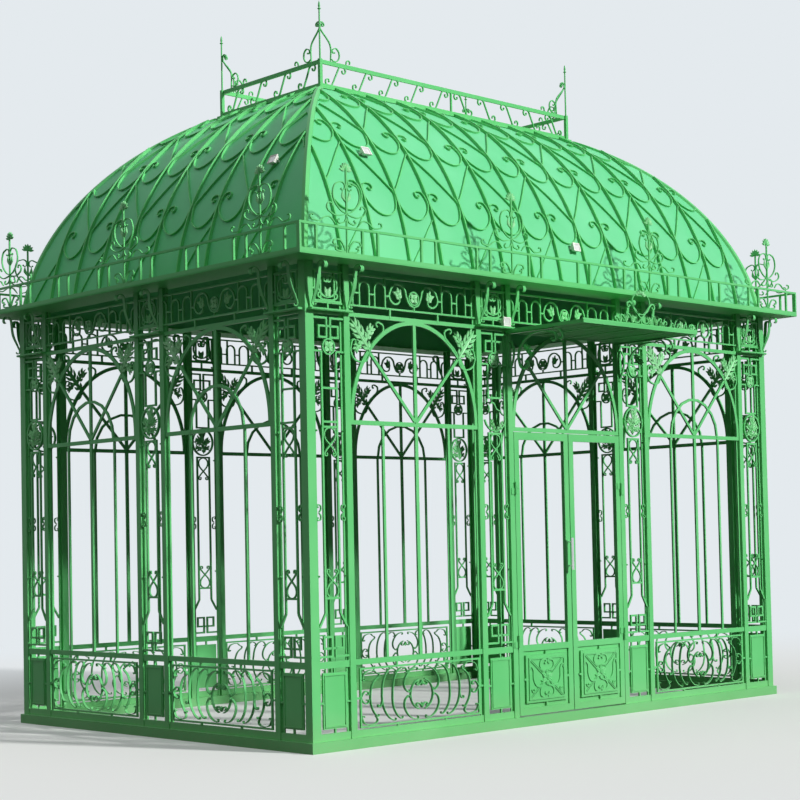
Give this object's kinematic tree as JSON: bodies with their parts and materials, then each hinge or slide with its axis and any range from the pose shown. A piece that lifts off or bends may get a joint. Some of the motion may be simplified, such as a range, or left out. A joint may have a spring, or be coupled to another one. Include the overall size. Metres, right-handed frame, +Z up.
{
  "type": "victorian greenhouse",
  "caption": "Iron garden pavilion: open scroll walls, double door under a canopy, curved hipped roof with galleries and finials.",
  "frame": {"origin": "under the middle of the whole outline, on the ground", "axes": "+X to the right along the door wall as seen from outside, +Y from the door wall towards the back, +Z up"},
  "size_m": [5.534, 4.512, 5.469],
  "materials": {
    "green_paint": "satin",
    "roof_paint": "satin",
    "handle_metal": "polished"
  },
  "bodies": {
    "frame": {"sole_plates": "green_paint", "corner_posts": "green_paint", "front_uprights": "green_paint", "front_pilaster_panels": "green_paint", "front_window_panels": "green_paint", "front_frieze": "green_paint", "front_consoles": "green_paint", "back_uprights": "green_paint", "back_pilaster_panels": "green_paint", "back_window_panels": "green_paint", "back_frieze": "green_paint", "back_consoles": "green_paint", "left_uprights": "green_paint", "left_pilaster_panels": "green_paint", "left_window_panels": "green_paint", "left_frieze": "green_paint", "left_consoles": "green_paint", "right_uprights": "green_paint", "right_pilaster_panels": "green_paint", "right_window_panels": "green_paint", "right_frieze": "green_paint", "right_consoles": "green_paint", "fanlight": "green_paint", "eave_plates": "green_paint", "eave_crests": "green_paint", "front_eave_gallery": "green_paint", "back_eave_gallery": "green_paint", "left_eave_gallery": "green_paint", "right_eave_gallery": "green_paint", "front_roof": "roof_paint", "back_roof": "roof_paint", "left_roof": "roof_paint", "right_roof": "roof_paint", "hip_bars": "green_paint", "crown_plate": "green_paint", "finials": "green_paint", "crown_gallery": "green_paint", "canopy": "green_paint", "canopy_brackets": "green_paint", "canopy_cresting": "green_paint", "door_hinges": "green_paint"},
    "left_door": {"left_door_leaf": "green_paint", "door_handle": "handle_metal"},
    "right_door": {"right_door_leaf": "green_paint"}
  },
  "joints": [
    {"name": "left_leaf_hinge", "type": "hinge", "parent": "frame", "child": "left_door", "pos_m": [-0.5975, -1.516, 1.02], "axis": [0, 0, -1], "range_deg": [0, 100]},
    {"name": "right_leaf_hinge", "type": "hinge", "parent": "frame", "child": "right_door", "pos_m": [0.5975, -1.516, 1.02], "axis": [0, 0, 1], "range_deg": [0, 100]}
  ]
}
